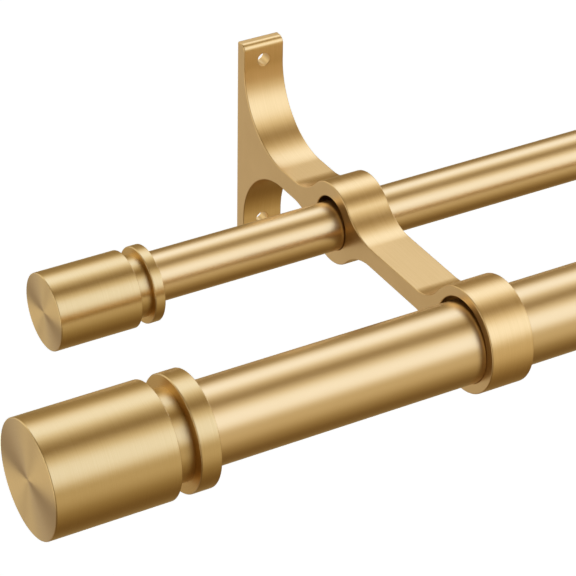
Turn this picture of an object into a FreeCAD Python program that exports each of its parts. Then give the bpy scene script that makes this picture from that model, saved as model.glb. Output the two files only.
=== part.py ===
import FreeCAD, Part
import math
import os

# A double curtain pole: two tubes, one before the other, carried by two wall brackets.
# Millimetres. X runs along the poles, the wall is the plane y = 0, the room lies
# towards -Y and +Z is up. The origin is the middle of the four wall screw holes.

# Poles
front_pole_radius = 12.7
rear_pole_radius = 7.94
pole_wall = 1.0
# Length of the front pole that shows between its finials; the rear one shows less
front_shown_length = 711.0
rear_shows_less = 50.0

# Where the poles hang
front_pole_out = 136.4
rear_pole_out = 60.8

# Brackets, each one slice of the same outline, set in from the front finials' collars
bracket_inset = 97.2
bracket_width = 14.5
plate_thickness = 4.5
plate_half_height = 36.4
plate_corner_radius = 2.2
arm_thickness = 6.7
sweep_radius = 25.0
front_ring_wall = 3.3
rear_ring_wall = 4.8
front_bore_clearance = 0.7
rear_bore_clearance = 0.9
front_ring_fillet = 15.0
rear_ring_fillet = 18.0
wall_hole_radius = 2.25
wall_hole_from_arm = 30.0

# Finials
front_body_radius = 17.75
front_body_length = 38.45
front_neck_radius = 13.95
front_neck_length = 5.85
front_collar_radius = 17.65
front_collar_length = 6.6
rear_body_radius = 12.25
rear_body_length = 27.1
rear_neck_radius = 9.95
rear_neck_length = 4.35
rear_collar_radius = 12.2
rear_collar_length = 3.45
finial_edge = 0.4
front_socket_clearance = 0.05
rear_socket_clearance = 1.3
front_socket_in_body = 15.0
rear_socket_in_body = 12.0
pole_end_gap = 0.3

# Grub screws
ring_screw_radius = 2.0
front_ring_screw_length = 4.0
rear_ring_screw_length = 6.0
front_finial_screw_radius = 2.0
rear_finial_screw_radius = 1.5
finial_screw_length = 4.95
key_share_of_radius = 0.5
key_depth = 1.8
thread_clearance = 0.05
tip_gap = 0.05
touch_gap = 0.02
# The ring screws come in from above on the wall side, at this angle over the arm
ring_screw_angle = 45.0
# The line from a pole's axis up to its ring's centre leans to the wall at this angle
front_pole_lean = 45.0
rear_pole_lean = 71.0

# Sizes that follow
rear_shown_length = front_shown_length - rear_shows_less
bracket_from_middle = front_shown_length / 2 - bracket_inset
front_bore = front_pole_radius + front_bore_clearance
rear_bore = rear_pole_radius + rear_bore_clearance
front_ring_radius = front_bore + front_ring_wall
rear_ring_radius = rear_bore + rear_ring_wall
arm_half = arm_thickness / 2


def slack(clearance):
    return clearance - touch_gap


def ring_centre(pole_out, clearance, lean):
    return (-pole_out + slack(clearance) * math.cos(math.radians(lean)), 0.0)


front_ring = ring_centre(front_pole_out, front_bore_clearance, front_pole_lean)
rear_ring = ring_centre(rear_pole_out, rear_bore_clearance, rear_pole_lean)


def pole_height(clearance, lean):
    return -slack(clearance) * math.sin(math.radians(lean))


front_pole_z = pole_height(front_bore_clearance, front_pole_lean)
rear_pole_z = pole_height(rear_bore_clearance, rear_pole_lean)


def cylinder(radius, length, start, direction):
    return Part.makeCylinder(radius, length, start, direction)


# Part of a circle from one angle to another about a centre in the YZ plane
def arc(centre, radius, start, end):
    def point(degrees):
        angle = math.radians(degrees)
        y = centre[0] + radius * math.cos(angle)
        z = centre[1] + radius * math.sin(angle)
        return FreeCAD.Vector(0, y, z)
    return Part.Arc(point(start), point((start + end) / 2), point(end)).toShape()


# Centre and blend angle of a fillet between the top of the arm and a ring
def fillet_by(ring, ring_radius, fillet, side):
    up = arm_half + fillet
    along = math.sqrt((ring_radius + fillet) ** 2 - up ** 2)
    centre = (ring[0] + side * along, up)
    angle = math.degrees(math.atan2(up, along))
    return centre, angle


# The upper half of the outline, from the wall to the front of the front ring
def upper_outline():
    sweep = (-plate_thickness - sweep_radius, arm_half + sweep_radius)
    corner = (-plate_thickness + plate_corner_radius, plate_half_height - plate_corner_radius)
    back, back_angle = fillet_by(rear_ring, rear_ring_radius, rear_ring_fillet, 1)
    fore, fore_angle = fillet_by(rear_ring, rear_ring_radius, rear_ring_fillet, -1)
    last, last_angle = fillet_by(front_ring, front_ring_radius, front_ring_fillet, 1)
    curves = [
        arc(corner, plate_corner_radius, 90, 180),
        arc(sweep, sweep_radius, 0, -90),
        arc(back, rear_ring_fillet, 270, 180 + back_angle),
        arc(rear_ring, rear_ring_radius, back_angle, 180 - fore_angle),
        arc(fore, rear_ring_fillet, -fore_angle, -90),
        arc(last, front_ring_fillet, 270, 180 + last_angle),
        arc(front_ring, front_ring_radius, last_angle, 180),
    ]
    edges = []
    here = FreeCAD.Vector(0, 0, plate_half_height)
    for curve in curves:
        start = curve.Vertexes[0].Point
        if start.distanceToPoint(here) > 0.001:
            edges.append(Part.makeLine(here, start))
        edges.append(curve)
        here = curve.Vertexes[-1].Point
    return edges


def bracket_blank(middle_x):
    upper = upper_outline()
    lower = [edge.mirror(FreeCAD.Vector(0, 0, 0), FreeCAD.Vector(0, 0, 1)) for edge in upper]
    top = FreeCAD.Vector(0, 0, plate_half_height)
    bottom = FreeCAD.Vector(0, 0, -plate_half_height)
    edges = upper + lower + [Part.makeLine(bottom, top)]
    outline = Part.Wire(Part.__sortEdges__(edges))
    slice_ = Part.Face(outline).extrude(FreeCAD.Vector(bracket_width, 0, 0))
    slice_.translate(FreeCAD.Vector(middle_x - bracket_width / 2, 0, 0))
    return slice_


# Where the tip of a ring screw meets the pole, measured from the ring's centre
def ring_screw_start(pole_radius, clearance, lean):
    aside = math.radians(lean - ring_screw_angle)
    off_axis = slack(clearance) * math.sin(aside)
    below = slack(clearance) * math.cos(aside)
    return math.sqrt(pole_radius ** 2 - off_axis ** 2) - below + tip_gap


def ring_screw_direction():
    angle = math.radians(ring_screw_angle)
    return FreeCAD.Vector(0, math.cos(angle), math.sin(angle))


def bracket(middle_x):
    body = bracket_blank(middle_x)
    left_x = middle_x - bracket_width
    along = FreeCAD.Vector(1, 0, 0)
    through = 2 * bracket_width
    for ring, bore in ((front_ring, front_bore), (rear_ring, rear_bore)):
        start = FreeCAD.Vector(left_x, ring[0], ring[1])
        body = body.cut(cylinder(bore, through, start, along))
        # Threaded hole of the ring screw
        hole = cylinder(ring_screw_radius + thread_clearance, bore * 2,
                        FreeCAD.Vector(middle_x, ring[0], ring[1]), ring_screw_direction())
        body = body.cut(hole)
    for side in (1, -1):
        start = FreeCAD.Vector(middle_x, -2 * plate_thickness, side * wall_hole_from_arm)
        body = body.cut(cylinder(wall_hole_radius, 3 * plate_thickness, start,
                                 FreeCAD.Vector(0, 1, 0)))
    return body


def pole(radius, shown_length, into_socket, out, height):
    length = shown_length + 2 * into_socket
    start = FreeCAD.Vector(-length / 2, -out, height)
    along = FreeCAD.Vector(1, 0, 0)
    tube = cylinder(radius, length, start, along)
    return tube.cut(cylinder(radius - pole_wall, length, start, along))


# How far a pole's end reaches past the face of the collar
def reach(collar_length, neck_length, in_body):
    return collar_length + neck_length + in_body - pole_end_gap


front_reach = reach(front_collar_length, front_neck_length, front_socket_in_body)
rear_reach = reach(rear_collar_length, rear_neck_length, rear_socket_in_body)


# A turned finial on the X axis: the collar's face is at x = 0 and the body lies to the left
def turned_finial(body_radius, body_length, neck_radius, neck_length, collar_radius,
                  collar_length, socket_radius, in_body):
    neck_start = collar_length
    body_start = collar_length + neck_length
    end = body_start + body_length
    e = finial_edge
    points = [
        (0, socket_radius), (0, collar_radius), (neck_start, collar_radius),
        (neck_start, neck_radius), (body_start, neck_radius), (body_start, body_radius),
        (end - e, body_radius), (end, body_radius - e), (end, 0),
        (body_start + in_body, 0), (body_start + in_body, socket_radius),
        (0, socket_radius),
    ]
    wire = Part.makePolygon([FreeCAD.Vector(-x, 0, r) for x, r in points])
    axis = FreeCAD.Vector(1, 0, 0)
    return Part.Face(wire).revolve(FreeCAD.Vector(0, 0, 0), axis, 360)


# Middle of the grub screw, behind the neck and under the socket
def finial_screw_x(collar_length, neck_length, in_body):
    return -(collar_length + neck_length + in_body / 2)


def drill_finial(shape, screw_radius, screw_x, body_radius):
    start = FreeCAD.Vector(screw_x, 0, 0)
    return shape.cut(cylinder(screw_radius + thread_clearance, 2 * body_radius, start,
                              FreeCAD.Vector(0, 0, -1)))


def place_on_pole(shape, shown_length, out, height, side):
    shape = shape.copy()
    shape.translate(FreeCAD.Vector(-shown_length / 2, -out, height))
    if side > 0:
        shape = shape.mirror(FreeCAD.Vector(0, 0, 0), FreeCAD.Vector(1, 0, 0))
    return shape


def front_finial(side):
    shape = turned_finial(front_body_radius, front_body_length, front_neck_radius,
                          front_neck_length, front_collar_radius, front_collar_length,
                          front_pole_radius + front_socket_clearance, front_socket_in_body)
    screw_x = finial_screw_x(front_collar_length, front_neck_length, front_socket_in_body)
    shape = drill_finial(shape, front_finial_screw_radius, screw_x, front_body_radius)
    height = front_pole_z - front_socket_clearance + touch_gap
    return place_on_pole(shape, front_shown_length, front_pole_out, height, side)


def rear_finial(side):
    shape = turned_finial(rear_body_radius, rear_body_length, rear_neck_radius,
                          rear_neck_length, rear_collar_radius, rear_collar_length,
                          rear_pole_radius + rear_socket_clearance, rear_socket_in_body)
    screw_x = finial_screw_x(rear_collar_length, rear_neck_length, rear_socket_in_body)
    shape = drill_finial(shape, rear_finial_screw_radius, screw_x, rear_body_radius)
    height = rear_pole_z - rear_socket_clearance + touch_gap
    return place_on_pole(shape, rear_shown_length, rear_pole_out, height, side)


# A grub screw with its flat tip at the origin and its key socket towards +Z
def grub_screw(radius, length):
    body = cylinder(radius, length, FreeCAD.Vector(0, 0, 0), FreeCAD.Vector(0, 0, 1))
    corners = []
    for k in range(7):
        angle = math.radians(60 * k)
        key = radius * key_share_of_radius
        corners.append(FreeCAD.Vector(key * math.cos(angle), key * math.sin(angle),
                                      length - key_depth))
    key_hole = Part.Face(Part.makePolygon(corners)).extrude(FreeCAD.Vector(0, 0, key_depth))
    return body.cut(key_hole)


def ring_screw(side, ring, pole_radius, clearance, lean, length):
    screw = grub_screw(ring_screw_radius, length)
    screw.rotate(FreeCAD.Vector(0, 0, 0), FreeCAD.Vector(1, 0, 0), ring_screw_angle - 90)
    tip = ring_screw_start(pole_radius, clearance, lean)
    direction = ring_screw_direction()
    screw.translate(FreeCAD.Vector(side * bracket_from_middle, ring[0] + tip * direction.y,
                                   ring[1] + tip * direction.z))
    return screw


def finial_screw(side, radius, pole_radius, screw_x, shown_length, out, height):
    screw = grub_screw(radius, finial_screw_length)
    screw.rotate(FreeCAD.Vector(0, 0, 0), FreeCAD.Vector(1, 0, 0), 180)
    screw.translate(FreeCAD.Vector(screw_x, 0, -pole_radius - tip_gap))
    return place_on_pole(screw, shown_length, out, height, side)


def front_finial_screw(side):
    screw_x = finial_screw_x(front_collar_length, front_neck_length, front_socket_in_body)
    return finial_screw(side, front_finial_screw_radius, front_pole_radius, screw_x,
                        front_shown_length, front_pole_out, front_pole_z)


def rear_finial_screw(side):
    screw_x = finial_screw_x(rear_collar_length, rear_neck_length, rear_socket_in_body)
    return finial_screw(side, rear_finial_screw_radius, rear_pole_radius, screw_x,
                        rear_shown_length, rear_pole_out, rear_pole_z)


def build():
    shapes = {
        "front_pole": pole(front_pole_radius, front_shown_length, front_reach,
                           front_pole_out, front_pole_z),
        "rear_pole": pole(rear_pole_radius, rear_shown_length, rear_reach,
                          rear_pole_out, rear_pole_z),
    }
    for name, side in (("left", -1), ("right", 1)):
        shapes[name + "_bracket"] = bracket(side * bracket_from_middle)
        shapes["front_" + name + "_finial"] = front_finial(side)
        shapes["rear_" + name + "_finial"] = rear_finial(side)
        shapes["front_" + name + "_finial_screw"] = front_finial_screw(side)
        shapes["rear_" + name + "_finial_screw"] = rear_finial_screw(side)
        shapes["front_" + name + "_ring_screw"] = ring_screw(
            side, front_ring, front_pole_radius, front_bore_clearance, front_pole_lean,
            front_ring_screw_length)
        shapes["rear_" + name + "_ring_screw"] = ring_screw(
            side, rear_ring, rear_pole_radius, rear_bore_clearance, rear_pole_lean,
            rear_ring_screw_length)
    return shapes


os.makedirs("parts", exist_ok=True)
for node, shape in build().items():
    shape.exportStep("parts/" + node + ".step")
    box = shape.BoundBox
    print(node, shape.isValid(), len(shape.Solids), round(shape.Volume, 1),
          round(box.XMin, 2), round(box.XMax, 2), round(box.YMin, 2), round(box.YMax, 2),
          round(box.ZMin, 2), round(box.ZMax, 2))
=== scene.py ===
import math

import bmesh
import bpy
from mathutils import Matrix, Vector
from mathutils.geometry import delaunay_2d_cdt


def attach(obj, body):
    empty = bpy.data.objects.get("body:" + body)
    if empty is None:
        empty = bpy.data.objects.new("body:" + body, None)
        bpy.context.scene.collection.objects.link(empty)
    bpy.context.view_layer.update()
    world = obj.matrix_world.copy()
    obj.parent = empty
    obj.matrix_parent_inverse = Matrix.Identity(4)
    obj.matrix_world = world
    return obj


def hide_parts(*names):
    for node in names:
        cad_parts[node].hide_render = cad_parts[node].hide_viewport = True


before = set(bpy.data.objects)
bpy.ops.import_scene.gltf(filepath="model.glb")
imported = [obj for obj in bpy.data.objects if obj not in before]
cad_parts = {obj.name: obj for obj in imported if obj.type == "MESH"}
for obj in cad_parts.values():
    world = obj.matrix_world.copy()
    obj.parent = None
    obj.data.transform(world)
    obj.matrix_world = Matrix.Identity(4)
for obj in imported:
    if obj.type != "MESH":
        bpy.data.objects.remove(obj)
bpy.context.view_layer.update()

MM = 0.001

# Sizes of the part, in millimetres and in the frame of the CAD: X runs along the poles, the
# wall is the plane y = 0, the room lies towards -Y and +Z is up

FRONT_SHOWN = 711.0
REAR_SHOWS_LESS = 50.0
# What is left open where one piece bears on another
TOUCH_GAP = 0.02


def with_fits(d):
    """The sizes of one pole's row, with those that follow from its clearances."""
    bore = d["pole"] + d["clearance"]
    return dict(
        d,
        bore=bore,
        ring=bore + d["ring_wall"],
        slack=d["clearance"] - TOUCH_GAP,
        socket=d["pole"] + d["socket_clearance"],
        drop=d["socket_clearance"] - TOUCH_GAP,
    )


# pole, bore, ring, neck, body, collar and socket are radii. out is how far a pole's axis is
# from the wall, and lean is the angle, in degrees, at which the line from that axis to the
# ring's centre rises. edge is the radius of a finial's small roundings
FRONT = with_fits({
    "pole": 12.7, "shown": FRONT_SHOWN, "out": 136.4, "lean": 45.0,
    "clearance": 0.7, "ring_wall": 3.3, "fillet": 15.0,
    "body": 17.75, "body_long": 38.45, "neck": 13.95, "neck_long": 5.85,
    "collar": 17.65, "collar_long": 6.6, "socket_clearance": 0.05, "in_body": 15.0,
    "edge": 0.4,
})
REAR = with_fits({
    "pole": 7.94, "shown": FRONT_SHOWN - REAR_SHOWS_LESS, "out": 60.8, "lean": 71.0,
    "clearance": 0.9, "ring_wall": 4.8, "fillet": 18.0,
    "body": 12.25, "body_long": 27.1, "neck": 9.95, "neck_long": 4.35,
    "collar": 12.2, "collar_long": 3.45, "socket_clearance": 1.3, "in_body": 12.0,
    "edge": 0.35,
})
POLE_WALL = 1.0
POLE_END_GAP = 0.3
POLE_EDGE = 0.25
BRACKET_INSET = 97.2
BRACKET_X = FRONT_SHOWN / 2 - BRACKET_INSET
BRACKET_WIDTH = 14.5
BRACKET_EDGE = 0.35
PLATE = 4.5
PLATE_HALF = 36.4
PLATE_CORNER = 2.2
BACK_EDGE = 0.6
ARM_HALF = 3.35
SWEEP = 25.0
HOLE_RADIUS = 2.25
HOLE_HEIGHT = 30.0
HOLE_FLARE = 0.1
RING_SCREW_HOLE = 2.05
RING_SCREW_ANGLE = math.radians(45)

# How finely the meshes are made. FACETS are counted round an axis. Lengths are in
# millimetres, and the SHARP angles, over which an edge stays sharp, are in degrees
POLE_FACETS = 144
POLE_STRETCHES = 24
FINIAL_FACETS = 160
FINIAL_SPACING = 3.0
TURNED_SHARP = 40
BORE_FACETS = 96
CUTTER_FACETS = 48
BRACKET_STRETCHES = 6
BRACKET_SHARP = 35
EDGE_STEPS = 4
# Arcs of a larger radius than ARC_FINER_OVER get more steps per degree
ARC_STEPS_PER_DEGREE = 0.5
ARC_FINER_OVER = 12.0
LONG_RUN = 3.0
RUN_SPACING = 1.5
# Points nearer than this are one point
SAME_PLACE = 0.0001


# Mesh helpers

def link(name, data):
    obj = bpy.data.objects.new(name, data)
    bpy.context.scene.collection.objects.link(obj)
    return obj


def rounded(points, radius):
    """A profile with each soft corner turned into a small arc. points is [(x, r, soft)],
    where the ends aren't soft, and the result is [(x, r)]."""
    weight = 1 / math.sqrt(2)
    out = []
    for i, (x, r, soft) in enumerate(points):
        if not soft:
            out.append((x, r))
            continue
        here = Vector((x, r))
        back = (Vector(points[i - 1][:2]) - here).normalized()
        ahead = (Vector(points[i + 1][:2]) - here).normalized()
        start = here + back * radius
        end = here + ahead * radius
        # a rational curve, which in a square corner is a true quarter circle
        for k in range(EDGE_STEPS + 1):
            t = k / EDGE_STEPS
            a, b, c = (1 - t) ** 2, 2 * t * (1 - t) * weight, t ** 2
            p = (start * a + here * b + end * c) / (a + b + c)
            out.append((p.x, p.y))
    return out


def lathe(name, profile, segments, y, z):
    """A surface of revolution about an axis along X. profile is [(x, r)] in mm.
    The UV map's u runs round the axis, and v runs along the profile in metres."""
    bm = bmesh.new()
    uv = bm.loops.layers.uv.new("turned")
    lengths = [0.0]
    for (x0, r0), (x1, r1) in zip(profile, profile[1:]):
        lengths.append(lengths[-1] + math.hypot(x1 - x0, r1 - r0) * MM)
    rings = []
    for x, r in profile:
        if r < SAME_PLACE:
            rings.append([bm.verts.new((x * MM, y * MM, z * MM))])
            continue
        ring = []
        for k in range(segments):
            angle = 2 * math.pi * k / segments
            ring.append(bm.verts.new((x * MM, (y + r * math.cos(angle)) * MM,
                                      (z + r * math.sin(angle)) * MM)))
        rings.append(ring)
    for i, (lower, upper) in enumerate(zip(rings, rings[1:])):
        for k in range(segments):
            n = (k + 1) % segments
            if len(lower) == 1:
                verts = (lower[0], upper[n], upper[k])
                us, vs = (k + 0.5, k + 1, k), (0, 1, 1)
            elif len(upper) == 1:
                verts = (lower[k], lower[n], upper[0])
                us, vs = (k, k + 1, k + 0.5), (0, 0, 1)
            else:
                verts = (lower[k], lower[n], upper[n], upper[k])
                us, vs = (k, k + 1, k + 1, k), (0, 0, 1, 1)
            face = bm.faces.new(verts)
            face.smooth = True
            for loop, u, v in zip(face.loops, us, vs):
                loop[uv].uv = (u / segments, lengths[i + v])
    bmesh.ops.recalc_face_normals(bm, faces=bm.faces)
    mesh = bpy.data.meshes.new(name)
    bm.to_mesh(mesh)
    bm.free()
    return link(name, mesh)


def finish_normals(obj, sharp):
    """Smooth shading that keeps the flats flat. Edges over sharp degrees stay sharp."""
    mesh = obj.data
    mesh.shade_smooth()
    mesh.set_sharp_from_angle(angle=math.radians(sharp))
    mod = obj.modifiers.new("flats", "WEIGHTED_NORMAL")
    mod.keep_sharp = True
    mod.weight = 100
    return obj


# Poles

def pole_height(d):
    """A pole's axis lies under its ring's centre, by its slack and the angle of its lean."""
    return -d["slack"] * math.sin(math.radians(d["lean"]))


def make_pole(name, d):
    reach = d["collar_long"] + d["neck_long"] + d["in_body"] - POLE_END_GAP
    half = d["shown"] / 2 + reach
    inner = d["pole"] - POLE_WALL
    end = d["pole"] - POLE_EDGE
    stations = [-half + 2 * half * k / POLE_STRETCHES for k in range(POLE_STRETCHES + 1)]
    outer = [(x, d["pole"]) for x in stations]
    outer[0] = (-half + POLE_EDGE, d["pole"])
    outer[-1] = (half - POLE_EDGE, d["pole"])
    profile = [(-half, inner), (-half, end)] + outer + [(half, end), (half, inner)]
    profile += [(x, inner) for x in reversed(stations[1:-1])] + [(-half, inner)]
    obj = lathe(name, profile, POLE_FACETS, -d["out"], pole_height(d))
    # the profile ends where it starts, so its first and last rings are joined
    bm = bmesh.new()
    bm.from_mesh(obj.data)
    bmesh.ops.remove_doubles(bm, verts=bm.verts, dist=SAME_PLACE * MM)
    bm.to_mesh(obj.data)
    bm.free()
    return finish_normals(obj, TURNED_SHARP)


# Finials

def make_finial(name, d, side):
    """A turned finial. x is counted from its collar's face, away from the part's middle."""
    neck_start = d["collar_long"]
    neck_end = neck_start + d["neck_long"]
    socket_end = neck_end + d["in_body"]
    end = neck_end + d["body_long"]
    points = [
        (socket_end, 0.0, False),
        (socket_end, d["socket"], False),
        (0.0, d["socket"], True),
        (0.0, d["collar"], True),
        (neck_start, d["collar"], True),
        (neck_start, d["neck"], False),
        (neck_end, d["neck"], False),
        (neck_end, d["body"], True),
        (end, d["body"], True),
        (end, 0.0, False),
    ]
    profile = rounded(points, d["edge"])
    # extra rings so that the long walls and the end face shade evenly
    dense = []
    for a, b in zip(profile, profile[1:]):
        dense.append(a)
        steps = int(math.hypot(b[0] - a[0], b[1] - a[1]) // FINIAL_SPACING)
        for k in range(1, steps):
            t = k / steps
            dense.append((a[0] + (b[0] - a[0]) * t, a[1] + (b[1] - a[1]) * t))
    dense.append(profile[-1])
    placed = [(side * (d["shown"] / 2 + x), r) for x, r in dense]
    obj = lathe(name, placed, FINIAL_FACETS, -d["out"], pole_height(d) - d["drop"])
    return finish_normals(obj, TURNED_SHARP)


# Brackets. Points of their outline are (y, z) in millimetres

def arc(centre, radius, start, end):
    """Points along an arc with normals that point out of the bracket. The outline is walked
    counter-clockwise, so an arc that turns that way is convex and the others are hollow."""
    finer = max(1.0, math.sqrt(radius / ARC_FINER_OVER))
    steps = max(3, int(abs(end - start) * ARC_STEPS_PER_DEGREE * finer))
    sign = 1 if end > start else -1
    out = []
    for k in range(steps + 1):
        angle = math.radians(start + (end - start) * k / steps)
        n = Vector((math.cos(angle), math.sin(angle)))
        out.append((Vector(centre) + n * radius, n * sign))
    return out


def ring_centre(d):
    return (-d["out"] + d["slack"] * math.cos(math.radians(d["lean"])), 0.0)


def fillet_by(d, side):
    """The centre of a fillet between the arm and a ring, and its angle from the ring's centre.
    side is 1 for the ring's wall side and -1 for its room side."""
    up = ARM_HALF + d["fillet"]
    along = math.sqrt((d["ring"] + d["fillet"]) ** 2 - up ** 2)
    centre = (ring_centre(d)[0] + side * along, up)
    return centre, math.degrees(math.atan2(up, along))


def outline():
    """The bracket's closed outline from the wall over the top, as points and their normals."""
    back, back_angle = fillet_by(REAR, 1)
    fore, fore_angle = fillet_by(REAR, -1)
    last, last_angle = fillet_by(FRONT, 1)
    back_corner = (-BACK_EDGE, PLATE_HALF - BACK_EDGE)
    front_corner = (-PLATE + PLATE_CORNER, PLATE_HALF - PLATE_CORNER)
    sweep = (-PLATE - SWEEP, ARM_HALF + SWEEP)
    upper = []
    for centre, radius, start, end in (
        (back_corner, BACK_EDGE, 0, 90),
        (front_corner, PLATE_CORNER, 90, 180),
        (sweep, SWEEP, 0, -90),
        (back, REAR["fillet"], 270, 180 + back_angle),
        (ring_centre(REAR), REAR["ring"], back_angle, 180 - fore_angle),
        (fore, REAR["fillet"], -fore_angle, -90),
        (last, FRONT["fillet"], 270, 180 + last_angle),
        (ring_centre(FRONT), FRONT["ring"], last_angle, 180),
    ):
        upper += arc(centre, radius, start, end)
    lower = [(Vector((p.x, -p.y)), Vector((n.x, -n.y))) for p, n in reversed(upper[:-1])]
    walk = upper + lower
    # neighbouring arcs share an end point, which is kept once
    walk = [here for k, here in enumerate(walk)
            if (here[0] - walk[k - 1][0]).length > SAME_PLACE]
    # long straight runs, whose two ends have the same normal, get points in between
    same_normal = 0.9999
    out = []
    for (p, n), (q, m) in zip(walk, walk[1:] + walk[:1]):
        out.append((p, n))
        gap = (q - p).length
        if gap > LONG_RUN and n.dot(m) > same_normal:
            steps = int(gap // RUN_SPACING)
            out += [(p.lerp(q, k / steps), n) for k in range(1, steps)]
    return out


def bore_loop(d):
    """A ring's bore as points and normals, which point out of the metal to the bore's axis."""
    centre = Vector(ring_centre(d))
    out = []
    for k in range(BORE_FACETS):
        angle = -2 * math.pi * k / BORE_FACETS
        n = Vector((math.cos(angle), math.sin(angle)))
        out.append((centre + n * d["bore"], -n))
    return out


def stations_across():
    """(x, inset) from one side of the slice to the other, over its two rounded edges. inset
    is how far the wall stays inside the outline there."""
    half = BRACKET_WIDTH / 2
    edge = []
    for k in range(EDGE_STEPS, -1, -1):
        angle = math.pi / 2 * k / EDGE_STEPS
        edge.append((-half + BRACKET_EDGE * (1 - math.sin(angle)),
                     BRACKET_EDGE * (1 - math.cos(angle))))
    flat = BRACKET_WIDTH - 2 * BRACKET_EDGE
    inner = [(-half + BRACKET_EDGE + flat * k / BRACKET_STRETCHES, 0.0)
             for k in range(1, BRACKET_STRETCHES)]
    return edge + inner + [(-x, inset) for x, inset in reversed(edge)]


def within(point, loops):
    """Whether a point lies in the area that closed loops bound, by counting crossings."""
    crossings = 0
    for loop in loops:
        for a, b in zip(loop, loop[1:] + loop[:1]):
            if (a.y > point.y) != (b.y > point.y):
                crossings += point.x < a.x + (point.y - a.y) * (b.x - a.x) / (b.y - a.y)
    return crossings % 2 == 1


def fill_cap(bm, loops):
    """Triangles between the outline and the bores in it, all in one YZ plane."""
    verts = [v for loop in loops for v in loop]
    flat_loops = [[Vector((v.co.y, v.co.z)) / MM for v in loop] for loop in loops]
    flat = [p for loop in flat_loops for p in loop]
    edges = []
    first = 0
    for loop in loops:
        count = len(loop)
        edges += [(first + k, first + (k + 1) % count) for k in range(count)]
        first += count
    points, _, tris, source, _, _ = delaunay_2d_cdt(flat, edges, [], 0, 1e-6, True)
    for tri in tris:
        middle = sum((points[k] for k in tri), Vector((0, 0))) / 3
        if within(middle, flat_loops):
            bm.faces.new([verts[source[k][0]] for k in tri])


def slice_mesh(name, mid):
    """The bracket before it is drilled: walls round its outline and bores, and two caps."""
    bm = bmesh.new()
    stations = stations_across()
    first_cap, last_cap = [], []
    for points in (outline(), bore_loop(FRONT), bore_loop(REAR)):
        loops = []
        for x, inset in stations:
            loops.append([bm.verts.new(((mid + x) * MM, (p.x - n.x * inset) * MM,
                                        (p.y - n.y * inset) * MM)) for p, n in points])
        count = len(points)
        for a, b in zip(loops, loops[1:]):
            for k in range(count):
                m = (k + 1) % count
                bm.faces.new((a[k], a[m], b[m], b[k]))
        first_cap.append(loops[0])
        last_cap.append(loops[-1])
    fill_cap(bm, first_cap)
    fill_cap(bm, last_cap)
    bmesh.ops.recalc_face_normals(bm, faces=bm.faces)
    mesh = bpy.data.meshes.new(name)
    bm.to_mesh(mesh)
    bm.free()
    return mesh


def cutter(profile, origin, direction):
    """A turned cutter along a direction from an origin, in mm."""
    obj = lathe("cut", profile, CUTTER_FACETS, 0, 0)
    turn = Vector((1, 0, 0)).rotation_difference(Vector(direction))
    obj.data.transform(Matrix.Translation(Vector(origin) * MM) @ turn.to_matrix().to_4x4())
    return obj


def hole_cutters(mid):
    """Cutters for the wall holes, flared towards the room, and for the holes of the ring
    screws. All reach well out of the metal."""
    cutters = []
    past_plate = 3.0
    flare_start = PLATE - HOLE_FLARE
    flare_end = PLATE + past_plate
    flare_radius = HOLE_RADIUS + HOLE_FLARE + past_plate
    wall_hole = [
        (-past_plate, 0), (-past_plate, HOLE_RADIUS), (flare_start, HOLE_RADIUS),
        (flare_end, flare_radius), (flare_end, 0),
    ]
    for up in (1, -1):
        cutters.append(cutter(wall_hole, (mid, 0, up * HOLE_HEIGHT), (0, -1, 0)))
    past_ring = 12.0
    # a screw's cutter starts in the bore, at this share of the pole's radius
    start_share = 0.7
    screw_way = (0, math.cos(RING_SCREW_ANGLE), math.sin(RING_SCREW_ANGLE))
    for d in (FRONT, REAR):
        y, z = ring_centre(d)
        start = d["pole"] * start_share
        reach = d["ring"] + past_ring
        screw_hole = [(start, 0), (start, RING_SCREW_HOLE), (reach, RING_SCREW_HOLE), (reach, 0)]
        cutters.append(cutter(screw_hole, (mid, y, z), screw_way))
    return cutters


def drill(obj, cutters):
    """Cut the holes into a piece's mesh, and clear the slivers that this leaves."""
    for tool in cutters:
        mod = obj.modifiers.new("hole", "BOOLEAN")
        mod.operation = "DIFFERENCE"
        mod.solver = "MANIFOLD"
        mod.object = tool
    depsgraph = bpy.context.evaluated_depsgraph_get()
    cut = bpy.data.meshes.new_from_object(obj.evaluated_get(depsgraph))
    obj.modifiers.clear()
    joined_under = 0.002 * MM
    sliver_under = 0.001 * MM
    bm = bmesh.new()
    bm.from_mesh(cut)
    bmesh.ops.remove_doubles(bm, verts=bm.verts, dist=joined_under)
    bmesh.ops.dissolve_degenerate(bm, edges=bm.edges, dist=sliver_under)
    bm.to_mesh(cut)
    bm.free()
    obj.data = cut
    cut.name = obj.name
    for tool in cutters:
        bpy.data.objects.remove(tool)


def map_slice(mesh):
    """A UV map in metres. u runs across the slice's width, and v, which is y + z, along its
    arm and its plate."""
    layer = mesh.uv_layers.get("turned") or mesh.uv_layers.new(name="turned")
    for poly in mesh.polygons:
        for li in poly.loop_indices:
            co = mesh.vertices[mesh.loops[li].vertex_index].co
            layer.data[li].uv = (co.x, co.y + co.z)


def make_bracket(name, side):
    mid = side * BRACKET_X
    obj = link(name, slice_mesh(name, mid))
    drill(obj, hole_cutters(mid))
    map_slice(obj.data)
    return finish_normals(obj, BRACKET_SHARP)


# Materials

def maths(nodes, links, operation, *values):
    """A math node; each value is a socket or a number."""
    node = nodes.new("ShaderNodeMath")
    node.operation = operation
    for slot, value in enumerate(values):
        if isinstance(value, (int, float)):
            node.inputs[slot].default_value = value
        else:
            links.new(value, node.inputs[slot])
    return node.outputs[0]


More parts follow.
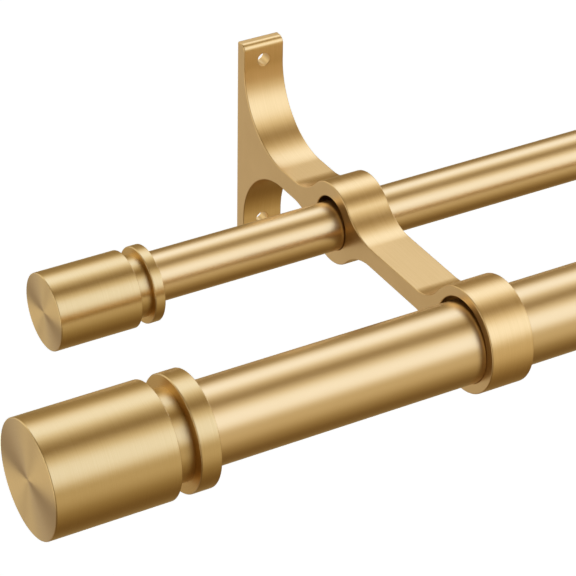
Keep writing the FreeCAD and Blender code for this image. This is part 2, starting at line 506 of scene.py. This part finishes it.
def new_material(name):
    mat = bpy.data.materials.new(name)
    mat.use_nodes = True
    nodes, links = mat.node_tree.nodes, mat.node_tree.links
    nodes.clear()
    out = nodes.new("ShaderNodeOutputMaterial")
    shader = nodes.new("ShaderNodeBsdfPrincipled")
    links.new(shader.outputs["BSDF"], out.inputs["Surface"])
    return mat, nodes, links, shader


def gold(name, dark, light, coat, roughness, anisotropy, pattern, contrast, grain):
    """Satin gold plate between a dark and a light tone. pattern gives the noise that stands
    for the fine lines of the finish, contrast their share in the tone, and grain their bump."""
    mat, nodes, links, shader = new_material(name)
    shader.inputs["Metallic"].default_value = 1.0
    shader.inputs["Coat Weight"].default_value = coat
    shader.inputs["Coat Roughness"].default_value = 0.25
    lines = pattern(nodes, links)
    cloud = nodes.new("ShaderNodeTexNoise")
    cloud.inputs["Scale"].default_value = 28.0
    cloud.inputs["Detail"].default_value = 3.0
    coords = nodes.new("ShaderNodeTexCoord")
    links.new(coords.outputs["Object"], cloud.inputs["Vector"])
    blend = nodes.new("ShaderNodeMix")
    blend.data_type = "FLOAT"
    blend.inputs["Factor"].default_value = contrast
    links.new(cloud.outputs["Fac"], blend.inputs["A"])
    links.new(lines, blend.inputs["B"])
    tint = nodes.new("ShaderNodeValToRGB")
    low, high = tint.color_ramp.elements
    low.position, low.color = 0.25, dark + (1,)
    high.position, high.color = 0.75, light + (1,)
    links.new(blend.outputs["Result"], tint.inputs["Fac"])
    links.new(tint.outputs["Color"], shader.inputs["Base Color"])
    spread = 0.015
    rough = nodes.new("ShaderNodeMapRange")
    rough.inputs["From Min"].default_value = 0.3
    rough.inputs["From Max"].default_value = 0.7
    rough.inputs["To Min"].default_value = roughness - spread
    rough.inputs["To Max"].default_value = roughness + spread
    links.new(lines, rough.inputs["Value"])
    links.new(rough.outputs["Result"], shader.inputs["Roughness"])
    if grain:
        bump = nodes.new("ShaderNodeBump")
        bump.inputs["Strength"].default_value = grain
        bump.inputs["Distance"].default_value = 0.00002
        links.new(lines, bump.inputs["Height"])
        links.new(bump.outputs["Normal"], shader.inputs["Normal"])
    if anisotropy:
        tangent = nodes.new("ShaderNodeTangent")
        tangent.direction_type = "UV_MAP"
        tangent.uv_map = "turned"
        links.new(tangent.outputs["Tangent"], shader.inputs["Tangent"])
        shader.inputs["Anisotropic"].default_value = anisotropy
        shader.inputs["Anisotropic Rotation"].default_value = 0.25
    return mat


def fine_noise(nodes, links, vector):
    noise = nodes.new("ShaderNodeTexNoise")
    noise.inputs["Scale"].default_value = 1.0
    noise.inputs["Detail"].default_value = 3.0
    noise.inputs["Roughness"].default_value = 0.6
    links.new(vector, noise.inputs["Vector"])
    return noise.outputs["Fac"]


def lines_along(scale):
    """Noise drawn out by a different scale on each axis of the object."""
    def pattern(nodes, links):
        coords = nodes.new("ShaderNodeTexCoord")
        place = nodes.new("ShaderNodeMapping")
        place.inputs["Scale"].default_value = scale
        links.new(coords.outputs["Object"], place.inputs["Vector"])
        return fine_noise(nodes, links, place.outputs["Vector"])
    return pattern


def lines_round(nodes, links):
    """Noise drawn out round a turned piece, with no seam: the map's u is the turn, v the
    way along the profile in metres."""
    lines_per_metre = 5200.0
    coords = nodes.new("ShaderNodeUVMap")
    coords.uv_map = "turned"
    split = nodes.new("ShaderNodeSeparateXYZ")
    links.new(coords.outputs["UV"], split.inputs["Vector"])
    turn = maths(nodes, links, "MULTIPLY", split.outputs["X"], 2 * math.pi)
    join = nodes.new("ShaderNodeCombineXYZ")
    links.new(maths(nodes, links, "COSINE", turn), join.inputs["X"])
    links.new(maths(nodes, links, "SINE", turn), join.inputs["Y"])
    links.new(maths(nodes, links, "MULTIPLY", split.outputs["Y"], lines_per_metre), join.inputs["Z"])
    return fine_noise(nodes, links, join.outputs["Vector"])


def screw_steel():
    mat, nodes, links, shader = new_material("screw_steel")
    shader.inputs["Metallic"].default_value = 1.0
    coords = nodes.new("ShaderNodeTexCoord")
    noise = nodes.new("ShaderNodeTexNoise")
    noise.inputs["Scale"].default_value = 900.0
    links.new(coords.outputs["Object"], noise.inputs["Vector"])
    tint = nodes.new("ShaderNodeValToRGB")
    tint.color_ramp.elements[0].color = (0.05, 0.047, 0.043, 1)
    tint.color_ramp.elements[1].color = (0.11, 0.1, 0.09, 1)
    links.new(noise.outputs["Fac"], tint.inputs["Fac"])
    links.new(tint.outputs["Color"], shader.inputs["Base Color"])
    shader.inputs["Roughness"].default_value = 0.38
    return mat


POLE_GOLD = gold(
    "drawn_gold", dark=(0.825, 0.62, 0.34), light=(0.855, 0.65, 0.37), coat=0.9,
    roughness=0.30, anisotropy=0.0, pattern=lines_along((60.0, 900.0, 900.0)),
    contrast=0.3, grain=0.0)
TURNED_GOLD = gold(
    "turned_gold", dark=(0.80, 0.59, 0.28), light=(0.88, 0.67, 0.345), coat=0.9,
    roughness=0.34, anisotropy=0.75, pattern=lines_round, contrast=0.8, grain=0.12)
FACED_GOLD = gold(
    "faced_gold", dark=(0.81, 0.60, 0.29), light=(0.87, 0.66, 0.335), coat=0.9,
    roughness=0.45, anisotropy=0.95, pattern=lines_round, contrast=0.8, grain=0.12)
# Painted shade: a darker, more saturated gold with no coat, for the flat faces in a finial's groove
GROOVE_PAINTED_SHADE = gold(
    "groove_painted_shade", dark=(0.70, 0.46, 0.15), light=(0.80, 0.56, 0.22), coat=0.0,
    roughness=0.34, anisotropy=0.75, pattern=lines_round, contrast=0.8, grain=0.12)
BRACKET_GOLD = gold(
    "bracket_gold", dark=(0.82, 0.59, 0.285), light=(0.91, 0.67, 0.35), coat=0.6,
    roughness=0.30, anisotropy=0.0, pattern=lines_along((2600.0, 60.0, 60.0)),
    contrast=0.7, grain=0.06)
SCREW = screw_steel()


# Pieces

def dress(obj, mat, slot, *nodes):
    obj.data.materials.clear()
    obj.data.materials.append(mat)
    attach(obj, "root")
    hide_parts(*nodes)


def finish_faces(obj, d):
    """A finial's flat faces are faced more coarsely; those in its groove get a darker, more
    saturated gold with no coat, which is painted shade for the recess.
    """
    obj.data.materials.append(FACED_GOLD)
    obj.data.materials.append(GROOVE_PAINTED_SHADE)
    # the places of the two materials in the piece's list
    faced, groove = 1, 2
    # a face is flat when the x of its normal is over this
    flat_over = 0.95
    spare = 0.01
    groove_start = d["shown"] / 2 + d["collar_long"]
    groove_end = groove_start + d["neck_long"]
    for poly in obj.data.polygons:
        if abs(poly.normal.x) > flat_over:
            along = abs(poly.center.x) / MM
            # the flat faces in the groove get the painted shade
            in_shaded_groove = groove_start - spare < along < groove_end + spare
            poly.material_index = groove if in_shaded_groove else faced


dress(make_pole("front_pole_tube", FRONT), POLE_GOLD, "drawn_pole", "front_pole")
dress(make_pole("rear_pole_tube", REAR), POLE_GOLD, "drawn_pole", "rear_pole")
for label, side in (("left", -1), ("right", 1)):
    for row, d in (("front", FRONT), ("rear", REAR)):
        cap = make_finial("%s_%s_cap" % (row, label), d, side)
        dress(cap, TURNED_GOLD, "turned_finial", "%s_%s_finial" % (row, label))
        finish_faces(cap, d)
    dress(make_bracket("%s_wall_bracket" % label, side), BRACKET_GOLD, "satin_bracket",
          "%s_bracket" % label)
# The grub screws are the CAD's own meshes
for node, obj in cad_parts.items():
    if node.endswith("screw"):
        obj.data.materials.clear()
        obj.data.materials.append(SCREW)


# Camera, fitted to the photograph. Its place and its sensor's width are in millimetres

FRAME_PIXELS = 576
FOCAL_PIXELS = 2760.631
SENSOR = 36.0
AZIMUTH = math.radians(-30.434)
ELEVATION = math.radians(32.612)
ROLL = math.radians(0.979)
CAMERA_PLACE = (-652.309, -693.084, 449.811)


def make_camera():
    back = Vector((math.sin(AZIMUTH) * math.cos(ELEVATION),
                   -math.cos(AZIMUTH) * math.cos(ELEVATION), math.sin(ELEVATION)))
    level = (-back).cross(Vector((0, 0, 1))).normalized()
    upright = level.cross(-back)
    right = level * math.cos(ROLL) + upright * math.sin(ROLL)
    up = upright * math.cos(ROLL) - level * math.sin(ROLL)
    data = bpy.data.cameras.new("camera")
    data.sensor_width = SENSOR
    data.lens = FOCAL_PIXELS / FRAME_PIXELS * SENSOR
    data.clip_start = 0.05
    data.clip_end = 50.0
    camera = link("camera", data)
    turn = Matrix((right, up, back)).transposed().to_4x4()
    camera.matrix_world = Matrix.Translation(Vector(CAMERA_PLACE) * MM) @ turn
    bpy.context.scene.camera = camera


make_camera()


# Studio: a tent round the object with two long soft strips of light on its right side, dim
# and warm below. Its left side is dim apart from the stretch near the wall, so that faces
# turned to the left mirror little light onto the poles

# The tent's brightness by the angle in degrees round the poles: 0 is the room, 90 is
# overhead, 180 is the wall, and angles under 0 are below
RIGHT_SIDE = (
    (-180, 0.24), (-160, 0.36), (-143, 0.50), (-120, 0.30), (-95, 0.19), (-75, 0.18),
    (-65, 0.24), (-55, 0.31), (-45, 0.38), (-35, 0.52), (-25, 0.62), (-15, 0.70), (-4, 0.60),
    (5, 0.76), (15, 1.13), (25, 1.22), (45, 1.20), (55, 1.00), (65, 0.66), (75, 0.22),
    (85, 0.33), (95, 0.62), (105, 1.02), (115, 1.24), (128, 1.24), (138, 1.10), (146, 0.74),
    (155, 0.36), (168, 0.27),
)
LEFT_SIDE = (
    (-180, 0.70), (-165, 0.60), (-143, 0.52), (-120, 0.36), (-100, 0.22), (-75, 0.12),
    (-40, 0.13), (0, 0.11), (30, 0.12), (60, 0.09), (90, 0.09), (115, 0.12), (136, 0.50),
    (148, 1.00), (160, 0.95), (170, 0.84),
)
# The tint that goes with a brightness, from the dim warm corners to the bright strips, which
# are cool on the right side
RIGHT_TINTS = (
    (0.18, (1.0, 0.60, 0.20)), (0.35, (1.0, 0.72, 0.31)), (0.60, (1.0, 0.82, 0.50)),
    (1.00, (1.0, 0.93, 0.75)), (1.25, (1.0, 1.10, 1.30)),
)
LEFT_TINTS = (
    (0.15, (1.0, 0.62, 0.25)), (0.55, (1.0, 0.87, 0.66)), (1.20, (1.0, 0.95, 0.74)),
)
# Beyond the left end, a pale card that draws a thin light line on edges turned to the left
END_CARD = (1.3, 1.2, 0.95)
# The spans of a direction's x over which the left side turns into the right one, and the
# card into the sides
SIDES_BLEND = (-0.15, 0.18)
CARD_BLEND = (-0.93, -0.80)
# The world's strength. The tent's colours are divided by it, which keeps them under 1
PEAK = 1.7


def white_for_seeing(nodes, links):
    """1 for the rays that show a plain background, through the camera or glass."""
    path = nodes.new("ShaderNodeLightPath")
    return maths(nodes, links, "MAXIMUM", path.outputs["Is Camera Ray"],
                 path.outputs["Is Transmission Ray"])


def tinted(level, tints):
    """The colour of the tent at a brightness."""
    for (low, a), (high, b) in zip(tints, tints[1:]):
        if level <= high:
            t = max(0.0, (level - low) / (high - low))
            return [level * (x + (y - x) * t) for x, y in zip(a, b)]
    return [level * x for x in tints[-1][1]]


def tent_ramp(nodes, links, turns, side, tints):
    """The colours of one side of the tent, by the share of a full turn."""
    ramp = nodes.new("ShaderNodeValToRGB")
    links.new(turns, ramp.inputs["Fac"])
    stops = ramp.color_ramp.elements
    while len(stops) < len(side):
        stops.new(0.5)
    # all the stops are placed before any gets its colour
    for stop, (degrees, level) in zip(stops, side):
        stop.position = degrees / 360 + 0.5
    for stop, (degrees, level) in zip(stops, side):
        stop.color = [c / PEAK for c in tinted(level, tints)] + [1]
    return ramp.outputs["Color"]


def blend_by_x(nodes, links, x, span, first, second):
    """From the first colour to the second as x goes over a span."""
    share = nodes.new("ShaderNodeMapRange")
    share.interpolation_type = "SMOOTHSTEP"
    share.inputs["From Min"].default_value = span[0]
    share.inputs["From Max"].default_value = span[1]
    links.new(x, share.inputs["Value"])
    mix = nodes.new("ShaderNodeMix")
    mix.data_type = "RGBA"
    links.new(share.outputs["Result"], mix.inputs["Factor"])
    for value, socket in ((first, mix.inputs["A"]), (second, mix.inputs["B"])):
        if isinstance(value, tuple):
            socket.default_value = [c / PEAK for c in value] + [1]
        else:
            links.new(value, socket)
    return mix.outputs["Result"]


def make_studio():
    world = bpy.data.worlds.new("studio")
    bpy.context.scene.world = world
    world.use_nodes = True
    nodes, links = world.node_tree.nodes, world.node_tree.links
    nodes.clear()
    coords = nodes.new("ShaderNodeTexCoord")
    split = nodes.new("ShaderNodeSeparateXYZ")
    links.new(coords.outputs["Generated"], split.inputs["Vector"])
    outward = maths(nodes, links, "MULTIPLY", split.outputs["Y"], -1.0)
    angle = maths(nodes, links, "ARCTAN2", split.outputs["Z"], outward)
    turns = maths(nodes, links, "MULTIPLY_ADD", angle, 1 / (2 * math.pi), 0.5)
    right_tent = tent_ramp(nodes, links, turns, RIGHT_SIDE, RIGHT_TINTS)
    left_tent = tent_ramp(nodes, links, turns, LEFT_SIDE, LEFT_TINTS)
    sides = blend_by_x(nodes, links, split.outputs["X"], SIDES_BLEND, left_tent, right_tent)
    whole = blend_by_x(nodes, links, split.outputs["X"], CARD_BLEND, END_CARD, sides)
    glow = nodes.new("ShaderNodeBackground")
    glow.inputs["Strength"].default_value = PEAK
    links.new(whole, glow.inputs["Color"])
    plain = nodes.new("ShaderNodeBackground")
    plain.inputs["Color"].default_value = (1, 1, 1, 1)
    pick = nodes.new("ShaderNodeMixShader")
    links.new(white_for_seeing(nodes, links), pick.inputs["Fac"])
    links.new(glow.outputs["Background"], pick.inputs[1])
    links.new(plain.outputs["Background"], pick.inputs[2])
    out = nodes.new("ShaderNodeOutputWorld")
    links.new(pick.outputs["Shader"], out.inputs["Surface"])


def make_floor():
    """A wide pale floor well below the part, in metres, that the metal doesn't mirror."""
    half = 20
    low = -0.55
    mesh = bpy.data.meshes.new("floor")
    corners = [(-half, -half, low), (half, -half, low), (half, half, low), (-half, half, low)]
    mesh.from_pydata(corners, [], [(0, 1, 2, 3)])
    floor = link("floor", mesh)
    floor.visible_glossy = False
    mat, nodes, links, shader = new_material("pale_floor")
    shader.inputs["Base Color"].default_value = (0.9, 0.9, 0.9, 1)
    shader.inputs["Roughness"].default_value = 0.9
    shader.inputs["Specular IOR Level"].default_value = 0.0
    # a glow for the camera's rays brings the floor up to the white behind it
    glow = 0.55
    lift = maths(nodes, links, "MULTIPLY", white_for_seeing(nodes, links), glow)
    shader.inputs["Emission Color"].default_value = (0.93, 1.0, 1.09, 1)
    links.new(lift, shader.inputs["Emission Strength"])
    mesh.materials.append(mat)


make_studio()
make_floor()

bpy.context.scene.view_settings.view_transform = "Standard"
